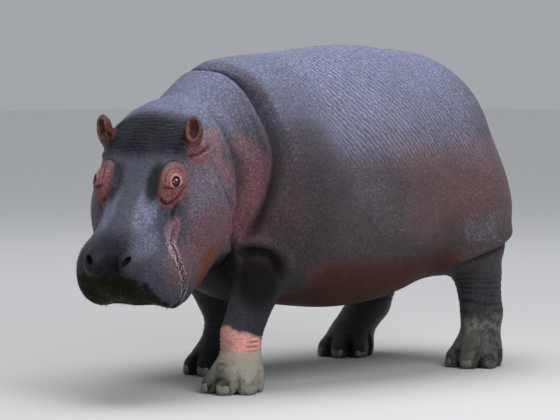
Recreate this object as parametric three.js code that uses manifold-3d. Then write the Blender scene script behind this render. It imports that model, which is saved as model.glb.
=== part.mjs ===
// A standing common hippopotamus, life size, its head turned a little to its left and hung low.
// Millimetres. +X runs from tail to nose, +Y to the animal's left, +Z up, the floor at z = 0.
// The body is one smooth shape, melted together from named masses and then parted with thin cuts.
import * as THREE from 'three';
import { mergeVertices } from 'three/addons/utils/BufferGeometryUtils.js';
import Module from 'manifold-3d';

const wasm = await Module();
wasm.setup();

const middle = 111;           // the layout's X at the middle of the finished animal
const gap = 0.3;              // clear space left between two neighbouring parts
const socketGap = 0.5;        // clear space round the parts that sit in sockets

// The size of the facets on each part.
const trunkFacet = 122;
const neckFacet = 66;
const headFacet = 56;
const legFacet = 56;
const footFacet = 48;
const tailFacet = 34;

// How softly the masses run into one another.
const trunkBlend = 120;
const neckBlend = 100;
const headBlend = 60;
const boneBlend = 20;
const legBlend = 50;
const joinBlend = 60;

// Ball masses give a centre and three half sizes; limbs run from one point to another, two radii.
const trunkMasses = {
  barrel: { at: [-220, 0, 860], size: [745, 560, 520] },
  chest: { at: [340, 0, 800], size: [400, 460, 460] },
  withers: { at: [340, 0, 1050], size: [420, 310, 346] },
  back: { at: [30, 0, 1060], size: [400, 320, 346] },
  loin: { at: [-320, 0, 1040], size: [560, 420, 398] },
  belly: { at: [-100, 0, 660], size: [620, 520, 360] },
  rump: { at: [-640, 0, 952], size: [350, 452, 440] },
  shoulder: { at: [400, 340, 780], size: [260, 170, 360] },
  thigh: { at: [-685, 308, 716], size: [284, 212, 296] },
};
const neckMasses = {
  nape: { at: [460, 0, 930], to: [764, 41, 957], size: [386, 270] },
  throat: { at: [690, 45, 700], size: [230, 225, 225] },
};

// The head has its own frame: forward along the face, left, and out of the forehead.
const headAt = [883, 82, 997];
const headYaw = 20;           // degrees to the left
const headPitch = 53.6;       // degrees nose down
const headMasses = {
  cranium: { at: [60, 0, -25], size: [200, 190, 150] },
  temple: { at: [15, 152, 15], size: [125, 82, 106] },
  brow: { at: [192, 146, 62], size: [84, 60, 66] },
  bridge: { at: [150, 0, -60], to: [450, 0, -60], size: [176, 178] },
  snout: { at: [514, 0, -55], size: [145, 212, 140] },
  lip: { at: [516, 160, -126], size: [130, 94, 122] },
  nostril: { at: [580, 80, 60], size: [48, 36, 40] },
  chin: { at: [475, 0, -180], size: [130, 180, 85] },
  jaw: { at: [395, 100, -205], to: [140, 140, -235], size: [142, 152] },
  cheek: { at: [160, 190, -150], size: [215, 110, 185] },
};

// Each leg is a chain of x, y, z and radius from the hip or shoulder down to the ankle.
const legs = {
  fore_left: [[480, 330, 700, 168], [558, 308, 420, 98], [612, 280, 240, 83], [615, 280, 120, 88]],
  fore_right: [[400, -320, 700, 166], [268, -288, 420, 97], [206, -262, 240, 80],
    [240, -250, 120, 86]],
  hind_left: [[-740, 325, 690, 170], [-790, 340, 420, 104], [-810, 350, 240, 92],
    [-800, 350, 120, 90]],
  hind_right: [[-740, -325, 690, 170], [-850, -330, 400, 110], [-800, -342, 240, 94],
    [-690, -350, 120, 90]],
};
const footForward = 30;       // the sole's centre ahead of the ankle
const padSize = [128, 116, 105];
const padHeight = 42;
const toeReach = [92, 84];    // toe centres from the sole's centre, forward and sideways
const toeSize = [54, 50, 56];
const toeHeight = 36;
const toeAngles = [-75, -26, 26, 75];
const nailSize = [15, 28, 27];
const nailReach = [132, 120];
const nailHeight = 30;

const earAt = [-14, 206, 132];
const earSize = [24, 40, 70];
const earTurn = [20, -45, -22];
const earBowl = { at: [15, 2, 16], size: [20, 27, 46] };
const eyeAt = [198, 167, 86];
const eyeRadius = 27;

const tailFlatness = 1.25;     // taller than it is wide
const tail = [[-985, 0, 1010, 62], [-1045, 0, 890, 44], [-1058, 0, 740, 30], [-1056, 0, 610, 20]];

// Where the parts meet.
const neckFront = 660;        // trunk to neck, across X
const headCut = { at: [760, 60, 950], yaw: 16, pitch: 20 };
const mouthAt = [440, 0, 0];    // the lower jaw's top passes here in the head's own frame
const mouthPitch = 43;        // and slopes down this much more than the face
const mouthCorner = -60;      // the jaw ends this far behind it
const shoulderCut = 460;
const hipCut = 470;
const legInside = 170;        // the legs start this far from the middle
const footCut = 130;
const tailFront = -1000;
const tailHalf = 75;
const tailTop = 1085;

const skinTone = 0x6e6469;
const faceTone = 0x4f5058;
const earTone = 0x7a4a42;
const footTone = 0x5d5750;
const nailTone = 0x3a3430;
const eyeTone = 0x2a1c16;

function turned(yaw, pitch, roll = 0) {
  const rad = Math.PI / 180;
  const turn = new THREE.Matrix4().makeRotationZ(yaw * rad);
  turn.multiply(new THREE.Matrix4().makeRotationY(pitch * rad));
  turn.multiply(new THREE.Matrix4().makeRotationX(roll * rad));
  return turn;
}

function framed(at, turn) {
  return new THREE.Matrix4().makeTranslation(...at).multiply(turn);
}

// The distance out of a ball mass, nearly true close to its surface.
function ballField({ at, size }) {
  return (x, y, z) => {
    const qx = (x - at[0]) / size[0];
    const qy = (y - at[1]) / size[1];
    const qz = (z - at[2]) / size[2];
    const reach = Math.hypot(qx, qy, qz) + 1e-9;
    return reach * (reach - 1) / (Math.hypot(qx / size[0], qy / size[1], qz / size[2]) + 1e-9);
  };
}

function limbField({ at, to, size }) {
  const dx = to[0] - at[0];
  const dy = to[1] - at[1];
  const dz = to[2] - at[2];
  const square = dx * dx + dy * dy + dz * dz;
  return (x, y, z) => {
    const along = ((x - at[0]) * dx + (y - at[1]) * dy + (z - at[2]) * dz) / square;
    const t = Math.min(1, Math.max(0, along));
    const far = Math.hypot(x - at[0] - t * dx, y - at[1] - t * dy, z - at[2] - t * dz);
    return far - (size[0] + (size[1] - size[0]) * t);
  };
}

function melt(a, b, width) {
  const h = Math.min(1, Math.max(0, 0.5 + 0.5 * (b - a) / width));
  return b + (a - b) * h - width * h * (1 - h);
}

function massField(table, width) {
  const fields = Object.values(table).map((mass) => (mass.to ? limbField(mass) : ballField(mass)));
  return (x, y, z) => fields.slice(1).reduce((sum, one) => melt(sum, one(x, y, z), width),
    fields[0](x, y, z));
}

function mirrored(field) {
  return (x, y, z) => field(x, Math.abs(y), z);
}

function inFrame(field, frame) {
  const m = frame.clone().invert().elements;
  return (x, y, z) => field(
    m[0] * x + m[4] * y + m[8] * z + m[12],
    m[1] * x + m[5] * y + m[9] * z + m[13],
    m[2] * x + m[6] * y + m[10] * z + m[14],
  );
}

function legField(chain) {
  const bones = chain.slice(1).map((end, i) => limbField({
    at: chain[i].slice(0, 3),
    to: end.slice(0, 3),
    size: [chain[i][3], end[3]],
  }));
  const [ankleX, ankleY] = chain[chain.length - 1];
  const centre = [ankleX + footForward, ankleY];
  const pads = [ballField({ at: [...centre, padHeight], size: padSize })];
  for (const angle of toeAngles) {
    const rad = angle * Math.PI / 180;
    const at = [
      centre[0] + toeReach[0] * Math.cos(rad),
      centre[1] + toeReach[1] * Math.sin(rad),
      toeHeight,
    ];
    pads.push(inFrame(ballField({ at: [0, 0, 0], size: toeSize }), framed(at, turned(angle, 0))));
  }
  return (x, y, z) => {
    const shank = bones.slice(1).reduce((sum, one) => melt(sum, one(x, y, z), boneBlend),
      bones[0](x, y, z));
    const foot = pads.slice(1).reduce((sum, one) => melt(sum, one(x, y, z), 14), pads[0](x, y, z));
    return melt(shank, foot, legBlend);
  };
}

const headFrame = framed(headAt, turned(headYaw, headPitch));
const trunkField = mirrored(massField(trunkMasses, trunkBlend));
const neckField = massField(neckMasses, neckBlend);
const headField = inFrame(mirrored(massField(headMasses, headBlend)), headFrame);
const legFields = Object.fromEntries(Object.entries(legs).map(([k, v]) => [k, legField(v)]));

function bodyField(x, y, z) {
  let value = melt(trunkField(x, y, z), neckField(x, y, z), 80);
  value = melt(value, headField(x, y, z), joinBlend);
  for (const field of Object.values(legFields)) {
    value = melt(value, field(x, y, z), joinBlend);
  }
  return value;
}

// A closed mesh round the inside of a field, kept within a box. One point for each cell that the
// surface crosses, drawn onto the surface; one four-sided face for each crossed grid edge.
function meshOf(field, lo, hi, cell) {
  const count = lo.map((low, i) => Math.ceil((hi[i] - low) / cell) + 5);
  const start = lo.map((low, i) => (low + hi[i] - (count[i] - 1) * cell) / 2);
  const closed = (x, y, z) => Math.max(field(x, y, z), lo[0] - x, x - hi[0], lo[1] - y, y - hi[1],
    lo[2] - z, z - hi[2]);
  const at = (i, j, k) => (i * count[1] + j) * count[2] + k;
  const values = new Float64Array(count[0] * count[1] * count[2]);
  for (let i = 0; i < count[0]; i += 1) {
    for (let j = 0; j < count[1]; j += 1) {
      for (let k = 0; k < count[2]; k += 1) {
        values[at(i, j, k)] = closed(start[0] + i * cell, start[1] + j * cell, start[2] + k * cell);
      }
    }
  }
  const cellPoint = new Map();
  const points = [];
  const corners = [0, 1, 2, 3, 4, 5, 6, 7].map((n) => [n & 1, (n >> 1) & 1, (n >> 2) & 1]);
  const edges = [];
  for (let a = 0; a < 8; a += 1) {
    for (const bit of [1, 2, 4]) {
      if (!(a & bit)) {
        edges.push([a, a | bit]);
      }
    }
  }
  for (let i = 0; i < count[0] - 1; i += 1) {
    for (let j = 0; j < count[1] - 1; j += 1) {
      for (let k = 0; k < count[2] - 1; k += 1) {
        const v = corners.map(([a, b, c]) => values[at(i + a, j + b, k + c)]);
        const sum = [0, 0, 0];
        let hits = 0;
        for (const [a, b] of edges) {
          if ((v[a] < 0) !== (v[b] < 0)) {
            const t = v[a] / (v[a] - v[b]);
            for (let n = 0; n < 3; n += 1) {
              sum[n] += corners[a][n] + (corners[b][n] - corners[a][n]) * t;
            }
            hits += 1;
          }
        }
        if (hits) {
          cellPoint.set(at(i, j, k), points.length / 3);
          points.push(...[i, j, k].map((c, n) => start[n] + (c + sum[n] / hits) * cell));
        }
      }
    }
  }
  settle(points, closed, cell);
  const faces = [];
  const quad = (a, b, c, d, flip) => {
    const [p, q, r, s] = [a, b, c, d].map((cellIndex) => cellPoint.get(cellIndex));
    faces.push(...(flip ? [p, r, q, p, s, r] : [p, q, r, p, r, s]));
  };
  for (let i = 1; i < count[0] - 1; i += 1) {
    for (let j = 1; j < count[1] - 1; j += 1) {
      for (let k = 1; k < count[2] - 1; k += 1) {
        const inside = values[at(i, j, k)] < 0;
        if (inside !== values[at(i + 1, j, k)] < 0) {
          quad(at(i, j - 1, k - 1), at(i, j, k - 1), at(i, j, k), at(i, j - 1, k), !inside);
        }
        if (inside !== values[at(i, j + 1, k)] < 0) {
          quad(at(i - 1, j, k - 1), at(i - 1, j, k), at(i, j, k), at(i, j, k - 1), !inside);
        }
        if (inside !== values[at(i, j, k + 1)] < 0) {
          quad(at(i - 1, j - 1, k), at(i, j - 1, k), at(i, j, k), at(i - 1, j, k), !inside);
        }
      }
    }
  }
  return new wasm.Manifold(new wasm.Mesh({
    numProp: 3,
    vertProperties: new Float32Array(points),
    triVerts: new Uint32Array(faces),
  }));
}

function settle(points, field, cell) {
  const step = 1;
  for (let n = 0; n < points.length; n += 3) {
    for (let pass = 0; pass < 4; pass += 1) {
      const [x, y, z] = points.slice(n, n + 3);
      const value = field(x, y, z);
      const gx = (field(x + step, y, z) - field(x - step, y, z)) / (2 * step);
      const gy = (field(x, y + step, z) - field(x, y - step, z)) / (2 * step);
      const gz = (field(x, y, z + step) - field(x, y, z - step)) / (2 * step);
      const steep = Math.max(0.2, gx * gx + gy * gy + gz * gz);
      const move = Math.max(-0.2 * cell, Math.min(0.2 * cell, value / steep));
      points[n] -= gx * move;
      points[n + 1] -= gy * move;
      points[n + 2] -= gz * move;
    }
  }
}

function solidOf(geometry) {
  const bare = new THREE.BufferGeometry();
  bare.setAttribute('position', geometry.getAttribute('position').clone());
  bare.setIndex(geometry.index ? geometry.index.clone() : null);
  const merged = mergeVertices(bare, 1e-4);
  return new wasm.Manifold(new wasm.Mesh({
    numProp: 3,
    vertProperties: new Float32Array(merged.getAttribute('position').array),
    triVerts: new Uint32Array(merged.index.array),
  }));
}

// A block between two corners, in the frame given.
function block(lo, hi, frame = new THREE.Matrix4()) {
  const size = hi.map((high, i) => high - lo[i]);
  const shape = new THREE.BoxGeometry(...size);
  shape.translate(...lo.map((low, i) => low + size[i] / 2));
  shape.applyMatrix4(frame);
  return solidOf(shape);
}

function ballSolid(size, frame, around = 10, down = 7) {
  const shape = new THREE.SphereGeometry(1, around, down);
  shape.rotateX(Math.PI / 2);
  shape.scale(...size);
  shape.applyMatrix4(frame);
  return solidOf(shape);
}

// The largest body of a solid: the cuts leave a few crumbs beside it.
function mainBody(solid) {
  const bodies = solid.decompose();
  const sizes = bodies.map((body) => body.volume());
  return bodies[sizes.indexOf(Math.max(...sizes))];
}

function grown(size, by) {
  return size.map((half) => half + by);
}

const far = 3000;
const headCutFrame = framed(headCut.at, turned(headCut.yaw, headCut.pitch));
const aheadOfTrunk = block([neckFront + gap / 2, -far, -far], [far, far, far]);
const aheadOfNeck = block([gap / 2, -far, -far], [far, far, far], headCutFrame)
  .intersect(aheadOfTrunk);
const behindHead = block([-far, -far, -far], [-gap / 2, far, far], headCutFrame);

// Legs, feet and nails.
const parts = {};
const legBoxes = [];
const ankleOf = (chain) => chain[chain.length - 1];

function footSolids(side, chain) {
  const [ankleX, ankleY] = ankleOf(chain);
  const centre = [ankleX + footForward, ankleY];
  const lo = [centre[0] - 190, centre[1] - 190, -50];
  const hi = [centre[0] + 210, centre[1] + 190, footCut + 40];
  let foot = meshOf(bodyField, lo, hi, footFacet).intersect(block([-far, -far, 0], [far, far, footCut - gap / 2]));
  toeAngles.forEach((angle, i) => {
    const rad = angle * Math.PI / 180;
    const at = [
      centre[0] + nailReach[0] * Math.cos(rad),
      centre[1] + nailReach[1] * Math.sin(rad),
      nailHeight,
    ];
    const frame = framed(at, turned(angle, -24));
    foot = foot.subtract(ballSolid(grown(nailSize, socketGap), frame, 8, 4));
    parts[`nail_${side}_${i + 1}`] = [ballSolid(nailSize, frame, 8, 4), nailTone];
  });
  parts[`foot_${side}`] = [foot, footTone];
}

for (const [side, chain] of Object.entries(legs)) {
  const fore = side.startsWith('fore');
  const left = side.endsWith('left');
  const top = fore ? shoulderCut : hipCut;
  const front = fore ? ankleOf(chain)[0] + 150 : -560;
  const back = fore ? (left ? 330 : 110) : -1300;
  const wide = left ? [legInside, 900] : [-900, -legInside];
  const xs = chain.slice(1).map((point) => point[0]);
  const lo = [Math.min(...xs) - 260, Math.min(chain[1][1], ankleOf(chain)[1]) - 260, 60];
  const hi = [Math.max(...xs) + 260, Math.max(chain[1][1], ankleOf(chain)[1]) + 260, top + 80];
  const rough = meshOf(bodyField, lo, hi, legFacet);
  const room = block([back + gap / 2, wide[0] + gap / 2, footCut + gap / 2],
    [front - gap / 2, wide[1] - gap / 2, top - gap / 2]);
  legBoxes.push(block([back - gap / 2, wide[0] - gap / 2, -far], [front, wide[1] + gap / 2, top + gap / 2]));
  parts[`${side}_leg`] = [mainBody(rough.intersect(room)), skinTone];
  footSolids(side, chain);
}

// Trunk, neck and tail. The tail takes a small patch of the rump with it.
const tailBones = tail.slice(1).map((end, i) => limbField({
  at: tail[i].slice(0, 3),
  to: end.slice(0, 3),
  size: [tail[i][3], end[3]],
}));
const tailField = (x, y, z) => tailBones.reduce(
  (sum, one) => melt(sum, one(x, y * tailFlatness, z), 20), far);
const rumpAndTail = (x, y, z) => melt(bodyField(x, y, z), tailField(x, y, z), 40);
const tailRoom = (by) => block([-far, -tailHalf - by, 400], [tailFront + by, tailHalf + by,
  tailTop + by]);
const tailRough = meshOf(rumpAndTail, [-1180, -140, 500], [tailFront + 60, 140, tailTop + 60], tailFacet);
parts.tail = [mainBody(tailRough.intersect(tailRoom(0))), skinTone];
let trunk = meshOf(bodyField, [-1250, -750, 200], [neckFront + 160, 750, 1600], trunkFacet);
trunk = trunk.intersect(block([-far, -far, 240], [neckFront - gap / 2, far, far]));
trunk = legBoxes.reduce((sum, box) => sum.subtract(box), trunk);
trunk = trunk.subtract(tailRoom(gap));
parts.trunk = [mainBody(trunk), skinTone];
let neck = meshOf(bodyField, [neckFront - 110, -600, 320], [1150, 650, 1450], neckFacet);
neck = neck.intersect(aheadOfTrunk).intersect(behindHead);
neck = legBoxes.reduce((sum, box) => sum.subtract(box), neck);
parts.neck = [mainBody(neck), skinTone];

// Head, lower jaw, ears and eyes.
const headBody = meshOf(bodyField, [640, -400, 250], [1450, 620, 1250], headFacet).intersect(aheadOfNeck);
const mouthFrame = headFrame.clone().multiply(framed(mouthAt, turned(0, mouthPitch)));
const jawRoom = (by) => block([mouthCorner - by, -far, -far], [far, far, by], mouthFrame);
let head = headBody.subtract(jawRoom(gap / 2));
for (const [side, sign] of [['left', 1], ['right', -1]]) {
  const eyeFrame = headFrame.clone().multiply(framed([eyeAt[0], sign * eyeAt[1], eyeAt[2]],
    turned(0, 0)));
  head = head.subtract(ballSolid(grown([eyeRadius, eyeRadius, eyeRadius], socketGap), eyeFrame));
  parts[`eye_${side}`] = [ballSolid([eyeRadius, eyeRadius, eyeRadius], eyeFrame), eyeTone];
  const tilt = turned(earTurn[0] * sign, earTurn[1], earTurn[2] * sign);
  const earFrame = headFrame.clone().multiply(framed([earAt[0], sign * earAt[1], earAt[2]], tilt));
  const bowlFrame = earFrame.clone().multiply(new THREE.Matrix4().makeTranslation(
    earBowl.at[0], sign * earBowl.at[1], earBowl.at[2]));
  const whole = ballSolid(earSize, earFrame, 12, 8);
  parts[`ear_${side}`] = [whole.subtract(ballSolid(earBowl.size, bowlFrame, 10, 6)), earTone];
  head = head.subtract(ballSolid(grown(earSize, socketGap), earFrame, 12, 8));
}
parts.head = [mainBody(head), faceTone];
parts.lower_jaw = [mainBody(headBody.intersect(jawRoom(-gap / 2))), faceTone];

function meshFor(name, solid, tone) {
  const { vertProperties, triVerts } = solid.getMesh();
  const geometry = new THREE.BufferGeometry();
  geometry.setAttribute('position', new THREE.Float32BufferAttribute(vertProperties, 3));
  geometry.setIndex(Array.from(triVerts));
  geometry.translate(-middle, 0, 0);
  geometry.computeVertexNormals();
  const material = new THREE.MeshStandardMaterial({ color: tone, roughness: 0.6 });
  const mesh = new THREE.Mesh(geometry, material);
  mesh.name = name;
  return mesh;
}

const animal = new THREE.Group();
animal.name = 'hippopotamus';
for (const [name, [solid, tone]] of Object.entries(parts)) {
  animal.add(meshFor(name, solid, tone));
}

export default animal;
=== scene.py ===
import bpy
import bmesh
import math
import numpy as np
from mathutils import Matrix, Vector


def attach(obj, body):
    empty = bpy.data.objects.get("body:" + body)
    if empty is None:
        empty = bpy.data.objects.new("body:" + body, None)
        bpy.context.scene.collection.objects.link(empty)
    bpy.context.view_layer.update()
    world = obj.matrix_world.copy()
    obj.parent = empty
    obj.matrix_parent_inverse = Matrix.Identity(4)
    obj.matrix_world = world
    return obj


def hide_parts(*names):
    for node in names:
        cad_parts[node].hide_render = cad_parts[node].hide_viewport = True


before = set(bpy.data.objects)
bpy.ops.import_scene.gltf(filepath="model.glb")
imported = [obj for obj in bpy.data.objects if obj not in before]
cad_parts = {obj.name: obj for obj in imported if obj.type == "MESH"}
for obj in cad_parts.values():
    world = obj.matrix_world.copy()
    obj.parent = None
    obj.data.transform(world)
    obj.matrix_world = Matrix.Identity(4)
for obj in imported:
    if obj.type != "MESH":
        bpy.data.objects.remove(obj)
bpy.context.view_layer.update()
f4 = np.float32

# The body, in millimetres on the layout used for the solids: the same named masses, melted together.
# A ball has a centre and three half sizes. A limb runs between two points with a radius at each.
body = {
    "middle": 111,  # the layout's X at the middle of the finished animal
    "trunk": {
        "barrel": {"at": (-220, 0, 860), "size": (745, 560, 520)},
        "chest": {"at": (340, 0, 800), "size": (400, 460, 460)},
        "withers": {"at": (340, 0, 1050), "size": (420, 310, 346)},
        "back": {"at": (30, 0, 1060), "size": (400, 320, 346)},
        "loin": {"at": (-320, 0, 1040), "size": (560, 420, 398)},
        "belly": {"at": (-100, 0, 660), "size": (620, 520, 360)},
        "rump": {"at": (-640, 0, 952), "size": (350, 452, 440)},
        "shoulder": {"at": (400, 340, 780), "size": (260, 170, 360)},
        "thigh": {"at": (-685, 308, 716), "size": (284, 212, 296)},
    },
    "neck": {
        "nape": {"at": (460, 0, 930), "to": (764, 41, 957), "size": (386, 270)},
        "throat": {"at": (690, 45, 700), "size": (230, 225, 225)},
    },
    "headAt": (883, 82, 997),
    "headYaw": 20,
    "headPitch": 53.6,
    "head": {
        "cranium": {"at": (60, 0, -25), "size": (200, 190, 150)},
        "temple": {"at": (15, 152, 15), "size": (125, 82, 106)},
        "brow": {"at": (192, 146, 62), "size": (84, 60, 66)},
        "bridge": {"at": (150, 0, -60), "to": (450, 0, -60), "size": (176, 178)},
        "snout": {"at": (514, 0, -55), "size": (145, 212, 140)},
        "lip": {"at": (516, 160, -126), "size": (130, 94, 122)},
        "nostril": {"at": (580, 80, 60), "size": (48, 36, 40)},
        "chin": {"at": (475, 0, -180), "size": (130, 180, 85)},
        "jaw": {"at": (395, 100, -205), "to": (140, 140, -235), "size": (142, 152)},
        "cheek": {"at": (160, 190, -150), "size": (215, 110, 185)},
    },
    "legs": {
        "foreLeft": ((480, 330, 700, 168), (558, 308, 420, 98), (612, 280, 240, 83), (615, 280, 120, 88)),
        "foreRight": ((400, -320, 700, 166), (268, -288, 420, 97), (206, -262, 240, 80),
                      (240, -250, 120, 86)),
        "hindLeft": ((-740, 325, 690, 170), (-790, 340, 420, 104), (-810, 350, 240, 92),
                     (-800, 350, 120, 90)),
        "hindRight": ((-740, -325, 690, 170), (-850, -330, 400, 110), (-800, -342, 240, 94),
                      (-690, -350, 120, 90)),
    },
    "tail": ((-985, 0, 1010, 62), (-1045, 0, 890, 44), (-1058, 0, 740, 30), (-1056, 0, 610, 20)),
    "tailFlatness": 1.25,
    "blend": {"trunk": 120, "neck": 100, "head": 60, "bone": 20, "leg": 50, "join": 60, "neckJoin": 80},
}
foot = {
    "forward": 30,  # the sole's centre ahead of the ankle
    "pad": (128, 116, 105), "padHeight": 42,
    "toeReach": (92, 84), "toe": (54, 50, 56), "toeHeight": 36, "toeAngles": (-75, -26, 26, 75),
    "nail": (15, 28, 27), "nailReach": (132, 120), "nailHeight": 30,
    "clefts": (-112, -50, 0, 50, 112), "cleftDepth": 21, "cleftWidth": 10,
}
ear = {
    "at": (-14, 206, 132), "size": (24, 40, 70), "turn": (20, -45, -22),
    "bowlAt": (15, 2, 16), "bowl": (22, 27, 46), "bowlStart": (44, 2, 16),
}
eye = {
    "at": (198, 167, 86), "radius": 27, "gaze": (0.47, 0.58, 0.67),
    "lidThickness": 8, "openingLong": 26, "openingShort": 20,
}
nostril = {
    "at": (594, 80, 88), "size": (28, 13, 38), "turn": (-32, 0, -18), "rise": (0, 0, 60),
    "moundAt": (586, 84, 68), "mound": (56, 42, 44),
}

# How fine the skin's mesh is, in millimetres, and where.
mesh = {"base": 26, "low": (-1.2, -0.62, -0.06), "high": (1.42, 0.62, 1.5)}


def metres(values):
    return np.asarray(values, f4) / f4(1000)


def turnOf(yaw, pitch=0.0, roll=0.0):
    # columns are the turned piece's own forward, left and up
    y, p, r = (math.radians(v) for v in (yaw, pitch, roll))
    rz = np.array([[math.cos(y), -math.sin(y), 0], [math.sin(y), math.cos(y), 0], [0, 0, 1]])
    ry = np.array([[math.cos(p), 0, math.sin(p)], [0, 1, 0], [-math.sin(p), 0, math.cos(p)]])
    rx = np.array([[1, 0, 0], [0, math.cos(r), -math.sin(r)], [0, math.sin(r), math.cos(r)]])
    return (rz @ ry @ rx).astype(f4)


def ball(p, at, size, turn=None):
    q = p - metres(at)
    if turn is not None:
        q = q @ turn
    a = q / metres(size)
    reach = np.sqrt((a * a).sum(-1)) + f4(1e-9)
    b = a / metres(size)
    return reach * (reach - 1) / (np.sqrt((b * b).sum(-1)) + f4(1e-9))


def limb(p, start, end, r0, r1):
    a = metres(start)
    ab = metres(end) - a
    q = p - a
    t = np.clip((q @ ab) / (ab @ ab), 0, 1)
    d = q - t[:, None] * ab
    return np.sqrt((d * d).sum(-1)) - (r0 + (r1 - r0) * t) / f4(1000)


def melt(a, b, width):
    w = f4(width / 1000)
    h = np.clip(0.5 + 0.5 * (b - a) / w, 0, 1)
    return b + (a - b) * h - w * h * (1 - h)


def carve(a, b, width):
    return -melt(-a, b, width)


def masses(p, table, width):
    total = None
    for mass in table.values():
        if "to" in mass:
            one = limb(p, mass["at"], mass["to"], *mass["size"])
        else:
            one = ball(p, mass["at"], mass["size"])
        total = one if total is None else melt(total, one, width)
    return total


def mirrored(p):
    return np.stack([p[:, 0], np.abs(p[:, 1]), p[:, 2]], 1)


headTurn = turnOf(body["headYaw"], body["headPitch"])
headOrigin = metres(body["headAt"])


def inHead(p):
    return (p - headOrigin) @ headTurn


def fromHead(q):
    return headOrigin + np.asarray(q, f4) @ headTurn.T


def toeTurn(angle):
    return turnOf(angle)


def footCentre(chain):
    return chain[-1][0] + foot["forward"], chain[-1][1]


def around(chain, angle, reach, height):
    x, y = footCentre(chain)
    rad = math.radians(angle)
    return (x + reach[0] * math.cos(rad), y + reach[1] * math.sin(rad), height)


def legShape(p, chain):
    blend = body["blend"]
    shank = None
    for a, b in zip(chain[:-1], chain[1:]):
        one = limb(p, a[:3], b[:3], a[3], b[3])
        shank = one if shank is None else melt(shank, one, blend["bone"])
    sole = ball(p, (*footCentre(chain), foot["padHeight"]), foot["pad"])
    for angle in foot["toeAngles"]:
        at = around(chain, angle, foot["toeReach"], foot["toeHeight"])
        sole = melt(sole, ball(p, at, foot["toe"], toeTurn(angle)), 14)
    return melt(shank, sole, blend["leg"])


def tailShape(p):
    q = p * np.array([1, body["tailFlatness"], 1], f4)
    total = None
    chain = body["tail"]
    for a, b in zip(chain[:-1], chain[1:]):
        one = limb(q, a[:3], b[:3], a[3], b[3])
        total = one if total is None else melt(total, one, 20)
    return total


def headShape(q, detail):
    m = mirrored(q)
    total = masses(m, body["head"], body["blend"]["head"])
    # the ear starts as a thick leaf, and its bowl sinks in from the front as detail goes to 1
    e = (m - metres(ear["at"])) @ turnOf(*ear["turn"])
    thick = np.array(ear["size"]) * (1, 1, 1) + (14 * (1 - detail), 0, 0)
    blade = ball(e, (0, 0, 0), thick)
    if detail > 0:
        bowlAt = np.array(ear["bowlStart"]) + (np.array(ear["bowlAt"]) - ear["bowlStart"]) * detail
        blade = carve(blade, ball(e, bowlAt, ear["bowl"]), 5)
    total = melt(total, blade, 14)
    if detail > 0:
        lid = ball(m, eye["at"], (eye["radius"] + eye["lidThickness"],) * 3)
        total = melt(total, lid, 22)
        mound = ball(m, nostril["moundAt"], nostril["mound"], turnOf(*nostril["turn"]))
        total = melt(total, mound, 20)
    return total


def bodyShape(p, detail=1.0):
    blend = body["blend"]
    total = masses(mirrored(p), body["trunk"], blend["trunk"])
    total = melt(total, masses(p, body["neck"], blend["neck"]), blend["neckJoin"])
    total = melt(total, headShape(inHead(p), detail), blend["join"])
    # the legs and the tail only count near them
    low = p[:, 2] < 1.0
    near, part = p[low], total[low]
    for chain in body["legs"].values():
        part = melt(part, legShape(near, chain), blend["join"])
    total[low] = part
    far = p[:, 0] < -0.8
    total[far] = melt(total[far], tailShape(p[far]) - f4(0.012 * (1 - detail)), 40)
    return np.maximum(total, -p[:, 2])


def gazeFrame():
    # forward is where the eye looks; the opening is long across it
    g = np.array(eye["gaze"], float)
    g /= np.linalg.norm(g)
    long = np.cross(np.cross(g, (1, 0.15, -0.1)), g)
    long /= np.linalg.norm(long)
    return np.stack([g, long, np.cross(g, long)], 1).astype(f4)


def openings(p, total, detail):
    # the eye's opening and the nostril sink in from outside as detail goes to 1
    m = mirrored(inHead(p))
    gaze = gazeFrame()
    depth = eye["radius"] - 6 + 30 * (1 - detail)
    hole = np.array(eye["at"]) + gaze[:, 0] * depth
    almond = ball(m, hole, (20, eye["openingLong"], eye["openingShort"]), gaze)
    total = carve(total, almond, 3)
    turn = turnOf(*nostril["turn"])
    out = np.array(nostril["at"]) + turn @ np.array(nostril["rise"]) * (1 - detail)
    return carve(total, ball(m, out, nostril["size"], turn), 6)


def skinShape(p, detail=1.0):
    total = bodyShape(p, detail)
    if detail > 0:
        near = inHead(p)
        close = (near[:, 0] > 0.05) & (np.abs(near[:, 1]) < 0.3) & (near[:, 2] > -0.02)
        if close.any():
            total = total.copy()
            total[close] = openings(p[close], total[close], detail)
    return total


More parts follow.
